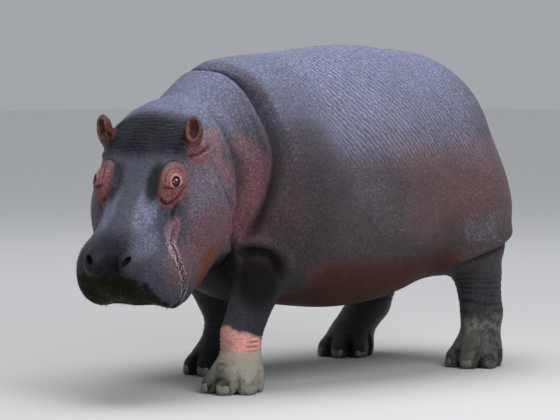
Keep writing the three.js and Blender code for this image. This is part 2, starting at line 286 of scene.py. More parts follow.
def netAround(shape, lo, hi, cell):
    # one point for each cell that the surface crosses, one four-sided face for each crossed edge
    lo, hi = np.asarray(lo, float), np.asarray(hi, float)
    count = np.ceil((hi - lo) / cell).astype(int) + 1
    axes = [lo[i] + cell * np.arange(count[i]) for i in range(3)]
    values = np.empty(count, f4)
    for i in range(0, count[0], 24):
        grid = np.meshgrid(axes[0][i:i + 24], axes[1], axes[2], indexing="ij")
        points = np.stack(grid, -1).astype(f4).reshape(-1, 3)
        values[i:i + 24] = shape(points).reshape(grid[0].shape)
    cells = count - 1
    total = int(cells.prod())
    sums, hits, quads = np.zeros((total, 3)), np.zeros(total), []
    for a in range(3):
        first, second = [slice(None)] * 3, [slice(None)] * 3
        first[a], second[a] = slice(0, -1), slice(1, None)
        v0, v1 = values[tuple(first)], values[tuple(second)]
        index = np.argwhere((v0 < 0) != (v1 < 0))
        b, c = (a + 1) % 3, (a + 2) % 3
        f0, f1 = v0[tuple(index.T)], v1[tuple(index.T)]
        place = np.stack([axes[d][index[:, d]] for d in range(3)], 1)
        place[:, a] += f0 / (f0 - f1) * cell
        corners = []
        for db, dc in ((-1, -1), (0, -1), (0, 0), (-1, 0)):
            q = index.copy()
            q[:, b] += db
            q[:, c] += dc
            corner = (q[:, 0] * cells[1] + q[:, 1]) * cells[2] + q[:, 2]
            corners.append(corner)
            for d in range(3):
                sums[:, d] += np.bincount(corner, place[:, d], total)
            hits += np.bincount(corner, minlength=total)
        quad = np.stack(corners, 1)
        quad[f0 > 0] = quad[f0 > 0][:, ::-1]
        quads.append(quad)
    quads = np.concatenate(quads)
    used = np.flatnonzero(hits)
    rank = np.full(total, -1)
    rank[used] = np.arange(len(used))
    return sums[used] / hits[used][:, None], rank[quads]


def slopeOf(shape, p, step=0.002):
    out = np.empty_like(p)
    for i in range(3):
        o = np.zeros(3, f4)
        o[i] = step
        out[:, i] = (shape(p + o) - shape(p - o)) / (2 * step)
    return out


def settle(shape, p, rounds=2, most=0.012):
    p = p.astype(f4)
    for _ in range(rounds):
        d = shape(p)
        g = slopeOf(shape, p)
        move = np.clip(d / np.maximum((g * g).sum(1), 0.08), -most, most)
        p = p - move[:, None] * g
    return p


# Folds of the hide, as points on the left side in millimetres: on the layout, or in the head's own frame.
# depth and width shape the groove; lip is the roll of hide beside it, lipAt away from it and lipWidth wide.
# shade is how much painted shade the groove's dip gets.
folds = {
    "neckGroove": {
        "path": ((576, -74, 1311), (575, 19, 1320), (550, 116, 1308), (534, 206, 1262), (530, 289, 1188),
                 (548, 378, 1090), (566, 433, 989), (590, 450, 895), (626, 436, 793), (652, 403, 715),
                 (664, 348, 640), (664, 290, 586)),
        "depth": 34, "width": (36, 9), "lip": 16, "lipAt": -88, "lipWidth": 30, "ends": (0.0, 0.2),
        "grow": 0.3, "shade": 0.75,
    },
    "flapEdge": {
        "path": ((-250, 130, 40), (-174, 193, 13), (-116, 252, -33), (-43, 291, -92), (50, 313, -152),
                 (142, 316, -200), (226, 293, -261), (268, 223, -374), (286, 113, -480), (288, 0, -520)),
        "head": True, "depth": 17, "width": (24, 8), "lip": 12, "lipAt": 24, "lipWidth": 18, "ends": (0.15, 0.1),
        "shade": 0.4,
    },
    "cheekEdge": {
        "path": ((40, 225, 50), (71, 265, -27), (115, 292, -93), (155, 305, -158), (207, 302, -214),
                 (262, 274, -279), (282, 186, -413)),
        "head": True, "depth": 9, "width": (16, 8), "lip": 8, "lipAt": 22, "lipWidth": 18, "ends": (0.25, 0.3),
        "shade": 0.3,
    },
    "armHood": {
        "path": ((648, 300, 575), (656, 339, 592), (640, 394, 602), (605, 435, 590), (565, 453, 552),
                 (537, 448, 504), (530, 425, 450)),
        "depth": 38, "width": (11, 32), "lip": 24, "lipAt": -38, "lipWidth": 26, "ends": (0.2, 0.25),
        "shade": 0.8,
    },
    "mouth": {
        "path": ((328, 172, 2), (358, 178, -13), (395, 178, -15), (438, 185, -2), (485, 212, -20),
                 (525, 229, -56), (561, 230, -100), (600, 212, -150), (622, 120, -182), (626, 0, -186)),
        "head": True, "depth": 12, "width": 6, "lip": 5, "lipAt": -12, "lipWidth": 10, "ends": (0.15, 0.0),
        "shade": 0.7,
    },
    "eyeToMouth": {
        "path": ((247, 199, 57), (277, 181, 36), (315, 163, 19), (343, 177, -11)),
        "head": True, "depth": 2, "width": 9, "lip": 1, "lipAt": 14, "lipWidth": 9, "ends": (0.3, 0.3),
    },
    "thighFold": {
        "path": ((-560, 400, 440), (-600, 440, 470), (-690, 488, 505), (-790, 495, 540), (-880, 440, 575),
                 (-950, 350, 600)),
        "depth": 20, "width": (11, 24), "lip": 18, "lipAt": -38, "lipWidth": 28, "ends": (0.2, 0.3),
        "shade": 0.6,
    },
    "upperLid": {
        "path": ((232, 150, 108), (200, 145, 124), (165, 152, 125), (148, 174, 112), (158, 200, 96),
                 (190, 212, 84)),
        "head": True, "depth": 4, "width": 4, "lip": 2, "lipAt": 8, "lipWidth": 6, "ends": (0.15, 0.2),
    },
    "brow": {
        "path": ((190, 104, 118), (150, 112, 122), (118, 135, 114), (112, 172, 98), (135, 205, 75)),
        "head": True, "depth": 4, "width": 7, "lip": 4, "lipAt": 14, "lipWidth": 10, "ends": (0.3, 0.3),
    },
    "lowerLid": {
        "path": ((236, 130, 114), (246, 156, 112), (242, 184, 100), (220, 204, 86), (194, 216, 78)),
        "head": True, "depth": 4, "width": 4, "lip": 2, "lipAt": -9, "lipWidth": 7, "ends": (0.15, 0.2),
    },
    "eyeBag": {
        "path": ((252, 118, 104), (285, 130, 84), (291, 153, 62), (265, 186, 60), (225, 208, 69),
                 (190, 222, 62)),
        "head": True, "depth": 7, "width": 6, "lip": 5, "lipAt": -12, "lipWidth": 10, "ends": (0.25, 0.3),
    },
    "earRoot": {
        "path": ((78, 176, 112), (72, 200, 88), (46, 222, 66), (0, 236, 40), (-40, 236, 32)),
        "head": True, "depth": 9, "width": 7, "lip": 5, "lipAt": 14, "lipWidth": 10, "ends": (0.3, 0.3),
    },
}
# the neck's own edge rolls out beside the groove
folds["neckEdge"] = {**folds["neckGroove"], "depth": 0, "lip": 9, "lipAt": 24, "lipWidth": 16}

# Rows of fine wrinkles: spacing and depth in millimetres, wander bends the rows.
wrinkles = {
    "wristLeft": {"leg": "foreLeft", "from": 150, "to": 275, "spacing": 19, "depth": 4.5, "wander": 7},
    "wristRight": {"leg": "foreRight", "from": 130, "to": 300, "spacing": 24, "depth": 3.5, "wander": 7},
    "hockLeft": {"leg": "hindLeft", "from": 215, "to": 450, "spacing": 29, "depth": 5, "wander": 8},
    "hockRight": {"leg": "hindRight", "from": 215, "to": 430, "spacing": 29, "depth": 5, "wander": 8},
}


def smoothPath(points, steps=6):
    # a curve through every point
    p = np.asarray(points, float)
    p = np.concatenate([2 * p[:1] - p[1:2], p, 2 * p[-1:] - p[-2:-1]])
    out = []
    for i in range(1, len(p) - 2):
        a, b, c, d = p[i - 1], p[i], p[i + 1], p[i + 2]
        for k in range(steps):
            t = k / steps
            out.append(0.5 * (2 * b + (c - a) * t + (2 * a - 5 * b + 4 * c - d) * t ** 2
                              + (3 * b - a - 3 * c + d) * t ** 3))
    out.append(p[-2])
    return metres(out)


def besidePath(p, n, path):
    # the distance to a curve, the signed distance to its side, both over the surface, and how far along
    reach, side, along = np.full(len(p), 9, f4), np.full(len(p), 9, f4), np.zeros(len(p), f4)
    inside = ((p > path.min(0) - 0.25) & (p < path.max(0) + 0.25)).all(1)
    p, n = p[inside], n[inside]
    best, found = np.full(len(p), 9, f4), np.zeros((len(p), 3), f4)
    count = len(path) - 1
    for i in range(count):
        a, ab = path[i], path[i + 1] - path[i]
        t = np.clip(((p - a) @ ab) / (ab @ ab), 0, 1)
        off = p - a - t[:, None] * ab
        d = np.sqrt((off * off).sum(1))
        near = d < best
        rise = (off[near] * n[near]).sum(1)
        best[near] = d[near]
        found[near, 0] = np.sqrt(np.maximum(d[near] ** 2 - rise ** 2, 0)) + np.maximum(np.abs(rise) - 0.07, 0)
        found[near, 1] = (np.cross(ab / np.linalg.norm(ab), n[near]) * off[near]).sum(1)
        found[near, 2] = (i + t[near]) / count
    reach[inside], side[inside], along[inside] = found.T
    return reach, side, along


def foldFrame(p, n, fold):
    if fold.get("head"):
        p, n = inHead(p), n @ headTurn
    flip = np.where(p[:, 1] < 0, -1, 1)
    return mirrored(p), np.stack([n[:, 0], n[:, 1] * flip, n[:, 2]], 1).astype(f4)


def fadeAtEnds(along, ends):
    fade = np.ones_like(along)
    if ends[0] > 0:
        fade *= np.clip(along / ends[0], 0, 1)
    if ends[1] > 0:
        fade *= np.clip((1 - along) / ends[1], 0, 1)
    return fade * fade * (3 - 2 * fade)


def foldHeight(p, n, fold):
    # the height to add, and how deep in the groove each place lies as painted shade, from 0 to 1
    m, mn = foldFrame(p, n, fold)
    reach, side, along = besidePath(m, mn, smoothPath(fold["path"]))
    fade = fadeAtEnds(along, fold["ends"])
    if fold["path"][0][1] < 0 or fold["path"][-1][1] == 0:
        fade = np.where((along <= 0) | (along >= 1), np.minimum(fade, 1), fade)
    # one width, or one for each side of the path
    width = fold["width"] if np.isscalar(fold["width"]) else np.where(side < 0, *fold["width"])
    grow = fold.get("grow", 1)
    width = width * (grow + (1 - grow) * soft(along, 0.12, 0.4))
    dip = np.exp(-(reach * 1000 / width) ** 2) * fade
    across = (side * 1000 - fold["lipAt"]) / fold["lipWidth"]
    off = np.sqrt(np.maximum(reach ** 2 - side ** 2, 0)) * 1000 / 40
    lip = fold["lip"] * np.exp(-across ** 2 - off ** 2) * fade * (grow + (1 - grow) * soft(along, 0.12, 0.4))
    shade = dip ** 1.6 * fold.get("shade", 0.8) if fold["depth"] else 0 * dip
    return ((lip - fold["depth"] * dip) / 1000).astype(f4), shade


def wander(p, size, seed, count=5):
    # a smooth value about -1 to 1 that changes over that many metres
    rng = np.random.default_rng(seed)
    total = np.zeros(len(p))
    for _ in range(count):
        turn = rng.normal(size=3)
        turn *= 2 * math.pi / size / np.linalg.norm(turn) * rng.uniform(0.7, 1.3)
        total += np.sin(p @ turn + rng.uniform(0, 6.3))
    return total / math.sqrt(count)


def soft(x, lo, hi):
    t = np.clip((x - lo) / (hi - lo), 0, 1)
    return t * t * (3 - 2 * t)


def grooves(row):
    # narrow dips between rounded rows, one each whole number
    return np.abs(np.sin(math.pi * row)) ** 0.6 - 0.75


def wrinkleHeight(p):
    total = np.zeros(len(p))
    # depthOf is how much painted shade each wrinkle groove and toe cleft gets
    depthOf = np.zeros(len(p))
    for name, rows in wrinkles.items():
        chain = body["legs"][rows["leg"]]
        centre = np.array(chain[2][:2]) / 1000
        z = p[:, 2] * 1000
        near = soft(-np.hypot(p[:, 0] - centre[0], p[:, 1] - centre[1]), -0.26, -0.2)
        band = soft(z, rows["from"], rows["from"] + 30) * soft(-z, -rows["to"], -rows["to"] + 50) * near
        row = (z + rows["wander"] * wander(p, 0.16, len(name))) / rows["spacing"]
        strength = 0.7 + 0.3 * wander(p, 0.12, 3 + len(name))
        wave = grooves(row) * band * np.clip(strength, 0.2, 1.2)
        total += rows["depth"] * wave
        depthOf += np.clip(-wave * 1.6, 0, 1)
    # clefts between the toes
    for chain in body["legs"].values():
        off = p[:, :2] * 1000 - np.array(footCentre(chain))
        far, turn = np.hypot(off[:, 0], off[:, 1]), np.degrees(np.arctan2(off[:, 1], off[:, 0]))
        band = soft(far, 55, 85) * soft(-far, -190, -160) * soft(-z, -112, -74)
        for cleft in foot["clefts"]:
            across = far * np.radians(turn - cleft)
            dip = np.exp(-(across / foot["cleftWidth"]) ** 2) * band
            total -= foot["cleftDepth"] * dip
            depthOf += 0.8 * dip
    q = inHead(p)
    u, v, w = (q[:, i] * 1000 for i in range(3))
    # across the forehead, and round the roots of the ears
    band = soft(u, -170, -90) * soft(-u, -120, -60) * soft(-np.abs(v), -205, -150) * soft(w, 20, 70)
    row = (u + 0.00055 * v * v + 6 * wander(q, 0.11, 8)) / 18
    wave = grooves(row) * band * np.clip(0.75 + 0.35 * wander(q, 0.08, 9), 0.15, 1.2)
    total += 4.2 * wave
    depthOf += np.clip(-wave * 1.6, 0, 1)
    m = mirrored(q)
    off = m - metres((-20, 214, 96))
    ring = np.sqrt((off * off).sum(1)) * 1000
    band = soft(ring, 46, 60) * soft(-ring, -120, -85)
    band = band * soft(m[:, 0] * 1000, -20, 10) * soft(-m[:, 1] * 1000, -225, -205)
    wave = grooves((ring + 4 * wander(q, 0.08, 4)) / 13) * band
    total += 3.2 * wave
    depthOf += np.clip(-wave * 1.6, 0, 1)
    return (total / 1000).astype(f4), np.clip(depthOf, 0, 1)


def wantedSize(p):
    # the length of mesh edge that each place needs, in metres; the base halves at each step
    q = inHead(p)
    m = mirrored(q)
    half, quarter, eighth = (mesh["base"] / 1000 / k for k in (2, 4, 8))
    size = np.full(len(p), mesh["base"] / 1000)

    def finer(where, to):
        size[where] = np.minimum(size[where], to)

    def away(at):
        return np.linalg.norm(m - metres(at), axis=1)

    eyeFront = np.array(eye["at"]) + gazeFrame()[:, 0] * (eye["radius"] + 6)

    finer((q[:, 0] > -0.12) & (p[:, 0] > 0.74), half)
    finer(p[:, 2] < 0.30, half)
    finer(p[:, 0] < -1.0, half)
    finer(away((215, 165, 90)) < 0.105, quarter)
    finer(away(eye["at"]) < 0.052, eighth)
    finer(away(eyeFront) < 0.03, eighth / 2)
    finer(away(nostril["at"]) < 0.06, quarter)
    finer(away(nostril["at"]) < 0.04, eighth)
    finer(away((-20, 214, 120)) < 0.125, quarter)
    blade = ball((m - metres(ear["at"])) @ turnOf(*ear["turn"]), (0, 0, 8), np.array(ear["size"]) + 4)
    finer(blade < 0.006, eighth)
    finer((m[:, 0] > -0.17) & (m[:, 0] < 0.11) & (m[:, 2] > 0.02) & (m[:, 1] < 0.2), quarter)
    flat = np.zeros_like(p)
    for fold in folds.values():
        reach, side, along = besidePath(m if fold.get("head") else mirrored(p), flat, smoothPath(fold["path"], 2))
        finer(reach < 0.075, half)
        finer(reach < 1.6 * np.min(fold["width"]) / 1000 + 0.008, quarter)
    for rows in wrinkles.values():
        centre = np.array(body["legs"][rows["leg"]][2][:2]) / 1000
        close = np.hypot(p[:, 0] - centre[0], p[:, 1] - centre[1]) < 0.24
        finer(close & (p[:, 2] * 1000 > rows["from"]) & (p[:, 2] * 1000 < rows["to"]), quarter)
    for chain in body["legs"].values():
        for angle in foot["toeAngles"]:
            nail = metres(around(chain, angle, foot["nailReach"], foot["nailHeight"]))
            finer(np.linalg.norm(p - nail, axis=1) < 0.05, quarter)
    return size


def readPoints(made):
    points = np.empty(len(made.vertices) * 3, f4)
    made.vertices.foreach_get("co", points)
    return points.reshape(-1, 3)


def writePoints(made, points):
    made.vertices.foreach_set("co", points.astype(f4).ravel())
    made.update()


def neighbourMean(points, pairs):
    count = len(points)
    total = np.zeros((count, 3))
    for d in range(3):
        total[:, d] = (np.bincount(pairs[:, 0], points[pairs[:, 1], d], count)
                       + np.bincount(pairs[:, 1], points[pairs[:, 0], d], count))
    many = np.bincount(pairs.ravel(), minlength=count)
    return (total / np.maximum(many, 1)[:, None]).astype(f4)


def smoothOnto(made, shape, rounds, pulls, only=None):
    # evens out the mesh along the surface and draws it back onto the shape
    points = readPoints(made)
    pairs = np.empty(len(made.edges) * 2, np.int32)
    made.edges.foreach_get("vertices", pairs)
    pairs = pairs.reshape(-1, 2)
    picked = np.arange(len(points)) if only is None else only
    for _ in range(rounds):
        mean = neighbourMean(points, pairs)
        points[picked] += 0.5 * (mean - points)[picked]
        points[picked] = settle(shape, points[picked], pulls)
    writePoints(made, points)


def refine(made, rounds):
    for n in range(rounds):
        count = len(made.polygons)
        middle = np.empty(count * 3, f4)
        made.polygons.foreach_get("center", middle)
        area = np.empty(count, f4)
        made.polygons.foreach_get("area", area)
        coarse = np.flatnonzero(np.sqrt(area) > 1.2 * wantedSize(middle.reshape(-1, 3)))
        if not len(coarse):
            break
        bm = bmesh.new()
        bm.from_mesh(made)
        bm.faces.ensure_lookup_table()
        edges = {e for i in coarse for e in bm.faces[i].edges}
        bmesh.ops.subdivide_edges(bm, edges=list(edges), cuts=1, use_grid_fill=True)
        bm.to_mesh(made)
        bm.free()
        if n < rounds - 1:
            smoothOnto(made, lambda p: bodyShape(p, 0.0), 1, 1)


def nearSmallParts(points):
    m = mirrored(inHead(points))
    near = np.linalg.norm(m - metres((-20, 214, 120)), axis=1) < 0.13
    near |= np.linalg.norm(m - metres(eye["at"]), axis=1) < 0.085
    near |= np.linalg.norm(m - metres(nostril["at"]), axis=1) < 0.075
    near |= (points[:, 0] < -0.98) & (np.abs(points[:, 1]) < 0.12)
    return near


def makeHide():
    for shift in (0, 0.003, 0.006, 0.009, 0.012, 0.015, 0.018, 0.021):
        low = np.array(mesh["low"]) - shift
        points, faces = netAround(lambda p: bodyShape(p, 0.0), low, mesh["high"], mesh["base"] / 1000)
        sides = np.sort(np.concatenate([faces[:, [k, (k + 1) % 4]] for k in range(4)]), 1)
        if (np.unique(sides, axis=0, return_counts=True)[1] == 2).all():
            break  # every edge joins two faces
    made = bpy.data.meshes.new("hide")
    made.from_pydata(points.tolist(), [], faces.tolist())
    refine(made, 5)
    print("net", len(made.vertices), "points")
    small = np.flatnonzero(nearSmallParts(readPoints(made)))
    steps = 12
    for n in range(1, steps + 3):
        smoothOnto(made, lambda p: skinShape(p, min(n / steps, 1.0)), 1, 2, small)
    points = settle(skinShape, readPoints(made), 1)
    print("small parts drawn out")
    n = slopeOf(skinShape, points)
    n /= np.linalg.norm(n, axis=1)[:, None] + 1e-9
    # crease gathers the painted shade of wrinkle grooves, toe clefts and folds
    high, crease = wrinkleHeight(points)
    rolling = 0.0035 * wander(points, 0.5, 21) * soft(points[:, 2], 0.2, 0.5)
    high += (rolling * soft(-points[:, 0], -0.8, -0.6)).astype(f4)
    for fold in folds.values():
        add, dip = foldHeight(points, n, fold)
        high += add
        crease = np.maximum(crease, dip)
    points = points + n * high[:, None]
    points[:, 2] = np.maximum(points[:, 2], 0)
    writePoints(made, points)
    print("folds drawn in")
    return made, points, n, crease.astype(f4)


def inside(p, at, size):
    # 1 in the middle of a soft-edged ball, 0 outside it
    return soft(-np.sqrt((((p * 1000 - np.array(at)) / np.array(size)) ** 2).sum(1)), -1.25, -0.6)


def besideBand(m, path, near, far):
    reach = besidePath(m, np.zeros_like(m), smoothPath(path, 3))[0] * 1000
    return soft(-reach, -far, -near)


# Where the hide changes colour, worked out at each point of its mesh, 0 to 1.
def hideMasks(points, n, crease):
    p, q = mirrored(points), inHead(points)
    m = mirrored(q)
    u, v, w = (m[:, i] * 1000 for i in range(3))
    x, y, z = (points[:, i] * 1000 for i in range(3))
    onHead = soft(u, -150, -60) * soft(x, 700, 790)
    legs = {name: np.array(chain[2][:2]) for name, chain in body["legs"].items()}
    masks = {}

    def atLeg(name):
        return soft(-np.hypot(x - legs[name][0], y - legs[name][1]), -300, -240) * soft(-z, -640, -440)

    pink = inside(m, (214, 163, 88), (116, 66, 84)) ** 1.6
    pink = np.maximum(pink, 0.7 * inside(m, (35, 215, 62), (66, 50, 60)))
    masks["pink"] = np.maximum(pink, 0.5 * besideBand(m, folds["mouth"]["path"][:7], 2, 16))
    neckBand = ((665, 345, 1030), (652, 396, 975), (655, 405, 880), (675, 385, 780), (695, 350, 690))
    behindEar = ((-90, 232, 25), (-10, 262, -10), (50, 292, -80))
    masks["mauve"] = np.maximum.reduce([0.85 * besideBand(p, neckBand, 5, 85),
                                        0.6 * besideBand(m, behindEar, 5, 52),
                                        0.75 * besideBand(m, folds["mouth"]["path"][:5], 4, 34)])
    side = -0.719 * (x - legs["foreLeft"][0]) + 0.695 * (y - legs["foreLeft"][1])
    top = 258 - 0.34 * side
    torn = soft(top - z + 9 * wander(points, 0.09, 18), -10, 16)
    masks["wrist"] = soft(z, 140, 160) * torn * atLeg("foreLeft") * soft(-side, -125, -70)
    masks["headRosy"] = onHead * np.maximum(inside(m, (300, 265, -160), (170, 90, 130)),
                                            0.85 * inside(m, (510, 220, -60), (100, 60, 90)))
    blotches = 0.42 + 0.5 * wander(points, 0.7, 31)
    masks["rosy"] = (soft(-np.abs(z - 820), -320, -100) * blotches * (1 - onHead)).clip(0, 1)
    masks["face"] = onHead * (1 - 0.9 * inside(m, (300, 265, -160), (190, 90, 150)))
    masks["cheek"] = onHead * soft(v, 175, 235) * soft(-u, -470, -330)
    masks["ochre"] = inside(m, (430, 245, -215), (130, 80, 62)) * onHead
    # the forehead's own dark skin, painted shade in the hollow beside the eye, and painted shade on the muzzle's
    # front and right side, turned from the light
    masks["dark"] = onHead * np.maximum.reduce([
        0.95 * soft(-u - 0.25 * v, -170, -75) * soft(w, 20, 80) * soft(-v, -205, -165),
        0.8 * inside(m, (214, 92, 106), (100, 42, 70)),
        0.85 * soft(u, 400, 540) * soft(w, -110, 0) * soft(-q[:, 1] * 1000, -150, -40),
    ])
    # painted shade inside the nostrils, and the dark, glossy skin between them
    pit = ball(m, nostril["at"], np.array(nostril["size"]) + 5, turnOf(*nostril["turn"]))
    masks["pit"] = np.maximum(soft(-pit * 1000, 0.5, 5),
                              0.75 * inside(m, (604, 26, 66), (66, 50, 50)) * soft(w, 20, 60))
    # the wet mud reaches higher on the muzzle's right side than on its left
    leftward = q[:, 1] * 1000
    level = 520 - 0.5 * np.clip(leftward - 60, 0, 200) - 1.1 * np.clip(leftward - 130, 0, 100)
    level = level + 12 * wander(points, 0.045, 23)
    masks["mudWet"] = soft(level - z, -16, 16) * soft(u + 0.5 * np.clip(-leftward, 0, 200), 490, 570) * onHead
    ragged = 16 * wander(points, 0.11, 17)
    footMud = soft(-z + ragged, -186, -164) * atLeg("foreLeft")
    masks["mud"] = np.maximum(footMud, 0.35 * soft(-z, -300, -120) * atLeg("hindLeft"))
    masks["stain"] = np.maximum(
        0.8 * soft(-z, -640, -420) * soft(-np.abs(x + 150), -700, -420),
        0.5 * soft(-z, -300, -150) * (atLeg("hindLeft") + atLeg("foreRight")),
    ).clip(0, 1)
    allLegs = sum(atLeg(name) for name in legs)
    masks["leg"] = (allLegs * soft(-z, -600, -400)).clip(0, 1)
    wet = 0.95 * soft(-z, -190, -120) * (atLeg("foreRight") + atLeg("hindRight") + 0.6 * atLeg("hindLeft"))
    masks["wet"] = np.clip(np.maximum(wet, 0.6 * soft(-z, -440, -200) * (atLeg("foreRight") + atLeg("hindRight"))),
                           0, 1)
    trunkOnly = (1 - onHead) * (1 - allLegs.clip(0, 1))
    # painted shade, partly the hide's own darker brown: the trunk's front over the shoulder and behind the neck, and
    # the lower trunk, darker towards the bottom
    masks["shadeAndDarkHide"] = np.maximum(
        soft(x, 60, 420) * soft(-z, -1330, -1050) * (1 - onHead) * (1 - 0.85 * soft(x, 610, 690)),
        0.8 * soft(-z, -700, -430) * trunkOnly,
    ).clip(0, 1)
    # a band of painted shade just behind the neck groove
    besideGroove = tuple((px - 46, py, pz) for px, py, pz in folds["neckGroove"]["path"])
    masks["shadeAndDarkHide"] = np.maximum(masks["shadeAndDarkHide"], 0.95 * besideBand(p, besideGroove, 15, 74))
    masks["shade"] = np.maximum(0.9 * inside(p, (600, 370, 470), (110, 90, 140)) * soft(-z, -590, -530),
                                0.85 * inside(p, (560, 230, 520), (190, 110, 170)))
    masks["shade"] = np.maximum(masks["shade"], 0.72 * inside(q, (214, 92, 104), (92, 32, 62)))
    masks["dust"] = inside(p, (-640, 480, 650), (120, 110, 80))
    masks["lipPale"] = inside(m, (378, 176, -2), (62, 40, 34))
    low = soft(-n[:, 2], 0.15, 0.75) * soft(z, 250, 340) * soft(-z, -640, -480)
    masks["belly"] = low * soft(-x, -480, -330) * (1 - allLegs.clip(0, 1))
    # painted sheen: hide facing up on the back and upper flank is painted lighter and bluer, a painted reflection of
    # the sky
    masks["paintedSkySheen"] = soft(n[:, 2], 0.0, 0.95) * soft(z, 560, 1050) * soft(x, -1030, -970)
    masks["rows"] = soft(z, 880, 1050) * soft(x, -780, -560) * soft(-x, -330, -120)
    e = (m - metres(ear["at"])) @ turnOf(*ear["turn"])
    blade = ball(e, (0, 0, 0), np.array(ear["size"]) + 3)
    masks["ear"] = soft(-blade * 1000, -10, -2) * soft(e[:, 2] * 1000, -66, -34)
    bowl = ball(e, ear["bowlAt"], ear["bowl"])
    masks["rim"] = masks["ear"] * soft(-np.abs(bowl * 1000), -5, -1.5) * soft(e[:, 0] * 1000, 2, 10)
    lid = ball(m, np.array(eye["at"]) + gazeFrame()[:, 0] * (eye["radius"] - 6),
               (20, eye["openingLong"], eye["openingShort"]), gazeFrame())
    masks["lidRim"] = soft(-np.abs(lid * 1000 - 3), -8.5, -3)
    # painted shade in the folds, wrinkle grooves and toe clefts
    masks["crease"] = crease
    masks["lit"] = onHead * np.maximum(inside(m, (340, 84, 96), (130, 46, 80)),
                                       0.6 * inside(m, (480, 110, 80), (80, 60, 70)))
    masks["dull"] = np.maximum.reduce([crease, masks["mud"], masks["mudWet"], masks["shade"], 0.7 * masks["shadeAndDarkHide"],
                                       0.8 * masks["belly"], 0.85 * masks["dark"]])
    return masks


# Colours as hex, turned from screen values to linear ones.
colours = {
    "hide": "52474B", "hideDark": "40373A", "paintedSkySheen": "5C627C", "rosy": "6E4744", "face": "3C3F4E",
    "ochre": "6E3B20", "dark": "14151D", "pit": "080709", "pink": "8A4A45", "wristPink": "F0A79A",
    "belly": "5A3226", "ear": "5C2822", "rim": "A07062", "lidRim": "A5776E", "crease": "120E11",
    "shadeAndDarkHide": "3C3538", "shade": "0E0D0F", "lit": "8790AE", "nailMud": "726E60", "cheek": "665A62",
    "mauve": "7C4C54", "lipPale": "9C7E8C", "bristleTip": "8C8274", "wart": "9A8782", "dust": "72747A",
    "rosyHead": "6E484A",
    "mud": "A39F90", "mudWet": "1C1A08", "stain": "4D4A40", "wet": "141518", "leg": "302F34",
    "ridgeSheen": "9092AA", "scar": "B0A3A8", "floorNear": "9E9E9A", "floorFar": "F4F4F2", "sky": "DFE2E8",
    "skyLight": "F6F7FF",
}


def linearHex(code):
    values = [int(code[i:i + 2], 16) / 255 for i in (0, 2, 4)]
    return [v / 12.92 if v <= 0.04045 else ((v + 0.055) / 1.055) ** 2.4 for v in values] + [1.0]


def linear(name):
    return linearHex(colours[name])


def add(tree, kind, inputs=None, **settings):
    # a node with its own settings, and its inputs given as values or as other nodes' outputs
    made = tree.nodes.new(kind)
    for key, value in settings.items():
        setattr(made, key, value)
    for key, value in (inputs or {}).items():
        if isinstance(value, bpy.types.NodeSocket):
            tree.links.new(value, made.inputs[key])
        else:
            made.inputs[key].default_value = value
    return made


def newMaterial(name):
    made = bpy.data.materials.new(name)
    made.use_nodes = True
    return made, made.node_tree, made.node_tree.nodes["Principled BSDF"]


# Colour layers of the hide, painted one over another: the mask, its colour, how strong it is, how much the
# patchy noise breaks its edge, and how rough it leaves the surface (0 keeps the hide's own).
hideLayers = (
    # painted sky sheen on the hide facing up
    ("paintedSkySheen", "paintedSkySheen", 0.95, 0.3, 0),
    ("rosy", "rosy", 0.6, 0.5, 0),
    # painted shade over partly darker hide on the trunk's front and lower trunk
    ("shadeAndDarkHide", "shadeAndDarkHide", 0.85, 0.3, 0),
    ("stain", "stain", 0.5, 0.6, 0.6),
    ("belly", "belly", 0.9, 0.35, 0),
    ("leg", "leg", 0.85, 0.4, 0.5),
    ("face", "face", 0.85, 0.3, 0.4),
    ("cheek", "cheek", 0.8, 0.35, 0),
    ("headRosy", "rosyHead", 0.7, 0.4, 0),
    ("lit", "lit", 0.36, 0.3, 0.32),
    ("dust", "dust", 0.5, 1.2, 0.7),
    ("ochre", "ochre", 0.9, 0.4, 0),
    # dark forehead skin, with painted shade by the eye and on the muzzle's right side
    ("dark", "dark", 0.97, 0.35, 0.36),
    ("mauve", "mauve", 0.9, 0.5, 0),
    ("lipPale", "lipPale", 0.45, 0.3, 0),
    ("pink", "pink", 0.85, 0.3, 0),
    ("ear", "ear", 0.95, 0.3, 0),
    ("rim", "rim", 0.8, 0.3, 0),
    ("wrist", "wristPink", 0.97, 0.7, 0),
)
# These lie over the fine pattern: wet and dry mud, wet hide, the lid's edge, painted shade under the arm's hood and
# in the eye's hollow, painted shade in folds and wrinkles, and painted shade in the nostrils.
topLayers = (
    ("lidRim", "lidRim", 0.85, 0.15, 0.3),
    ("wrist", "wristPink", 0.6, 0.7, 0),
    ("shade", "shade", 0.9, 0.1, 0.7),
    ("crease", "crease", 0.9, 0.15, 0),
    # painted shade in the nostrils, with the dark skin between them
    ("pit", "pit", 0.97, 0.25, 0.22),
    ("mud", "mud", 0.9, 0.8, 0.85),
    ("mudWet", "mudWet", 0.95, 0.9, 0.55),
    ("wet", "wet", 0.85, 0.4, 0.16),
)


def paintLayers(tree, layers, colour, rough, broken):
    for mask, paint, strength, breaking, gloss in layers:
        much = add(tree, "ShaderNodeAttribute", attribute_name=mask).outputs["Fac"]
        shifted = add(tree, "ShaderNodeMath", {0: broken, 1: breaking * 2.4, 2: much}, operation="MULTIPLY_ADD")
        # noise only moves the edge: nothing shows where the mask is nothing
        held = add(tree, "ShaderNodeMath", {0: much, 1: 5.0}, operation="MULTIPLY", use_clamp=True)
        amount = add(tree, "ShaderNodeMath", {0: shifted.outputs[0], 1: held.outputs[0]}, operation="MULTIPLY",
                     use_clamp=True)
        part = add(tree, "ShaderNodeMath", {0: amount.outputs[0], 1: strength}, operation="MULTIPLY")
        colour = add(tree, "ShaderNodeMix", {0: part.outputs[0], 6: colour, 7: linear(paint)},
                     data_type="RGBA").outputs[2]
        if gloss:
            rough = add(tree, "ShaderNodeMix", {0: part.outputs[0], 2: rough, 3: gloss},
                        data_type="FLOAT").outputs[0]
    return colour, rough


